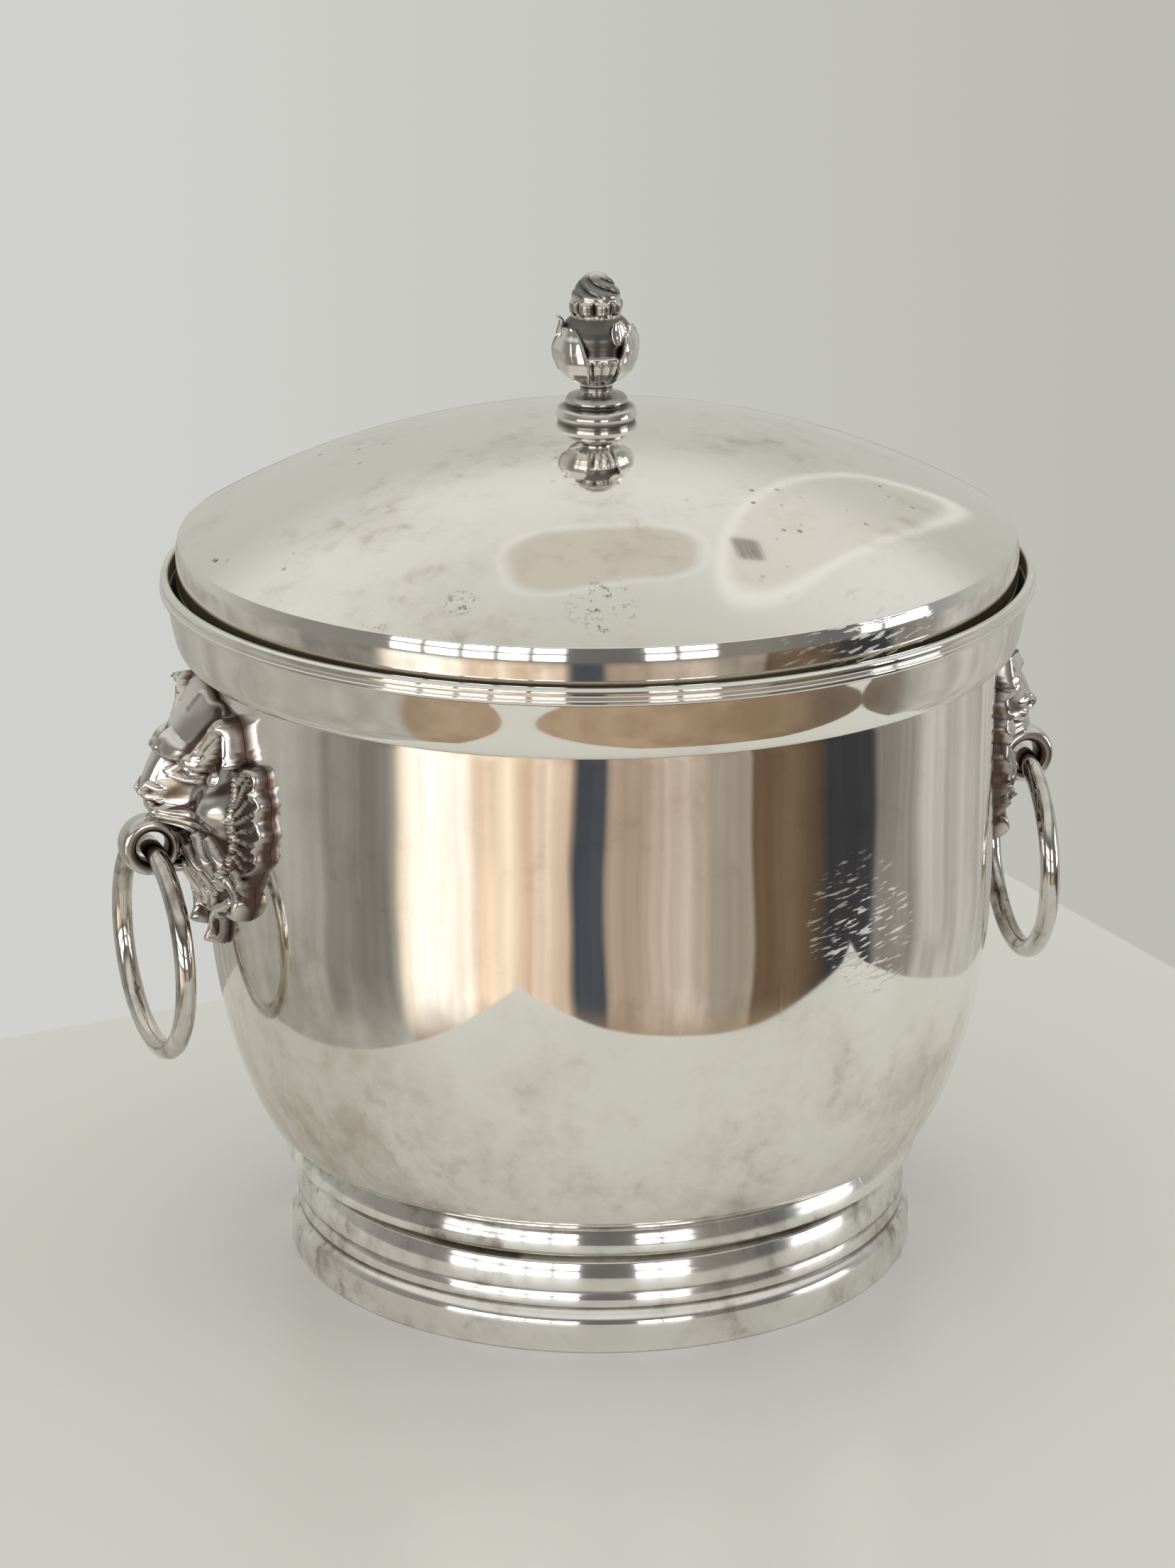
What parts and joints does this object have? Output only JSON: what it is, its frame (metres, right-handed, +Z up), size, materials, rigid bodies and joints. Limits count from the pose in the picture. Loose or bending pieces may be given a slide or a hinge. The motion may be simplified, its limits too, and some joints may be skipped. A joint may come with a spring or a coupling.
{
  "type": "champagne bucket",
  "caption": "Lidded silver-plated champagne bucket: footed bowl, lift-out liner, domed lid with bud finial, and two lion masks holding ring handles.",
  "frame": {"origin": "centre of the foot's contact plane, where the bucket's axis meets the surface it stands on", "axes": "+Z up along the axis of the bucket; the two ring handles lie on -X (left) and +X (right)"},
  "size_m": [0.2288, 0.2016, 0.2335],
  "materials": {
    "polished_silver": "polished silver plate with fine scratches",
    "worn_silver": "silver plate with tarnish mottling in the mouldings",
    "cast_silver": "cast silver plate, dark brown tarnish in the hollows",
    "satin_silver": "satin silver plate",
    "plain_steel": "plain steel fixings"
  },
  "bodies": {
    "bucket": {"body_shell": "polished_silver", "collar_band": "polished_silver", "rim_moulding": "polished_silver", "foot_ring": "worn_silver", "left_lion_mask": "cast_silver", "right_lion_mask": "cast_silver", "left_upper_stud": "plain_steel", "left_upper_washer": "plain_steel", "left_upper_nut": "plain_steel", "left_lower_stud": "plain_steel", "left_lower_washer": "plain_steel", "left_lower_nut": "plain_steel", "right_upper_stud": "plain_steel", "right_upper_washer": "plain_steel", "right_upper_nut": "plain_steel", "right_lower_stud": "plain_steel", "right_lower_washer": "plain_steel", "right_lower_nut": "plain_steel"},
    "liner": {"inner_liner": "satin_silver"},
    "lid": {"lid_dome": "polished_silver", "lid_bezel": "satin_silver", "finial_base": "cast_silver", "finial_bud": "cast_silver", "finial_stud": "plain_steel", "finial_washer": "plain_steel", "finial_nut": "plain_steel"},
    "left_ring": {"left_ring_handle": "polished_silver"},
    "right_ring": {"right_ring_handle": "polished_silver"}
  },
  "joints": [
    {"name": "liner_lift", "type": "slide", "parent": "bucket", "child": "liner", "axis": [0, 0, 1], "range_m": [0, 0.15]},
    {"name": "lid_lift", "type": "slide", "parent": "liner", "child": "lid", "axis": [0, 0, 1], "range_m": [0, 0.1]},
    {"name": "left_ring_swing", "type": "hinge", "parent": "bucket", "child": "left_ring", "pos_m": [-0.1074, 0, 0.1076], "axis": [-0.0924, 0.9957, 0], "range_deg": [-15, 100]},
    {"name": "right_ring_swing", "type": "hinge", "parent": "bucket", "child": "right_ring", "pos_m": [0.1074, 0, 0.1076], "axis": [-0.0924, -0.9957, 0], "range_deg": [-15, 100]}
  ]
}
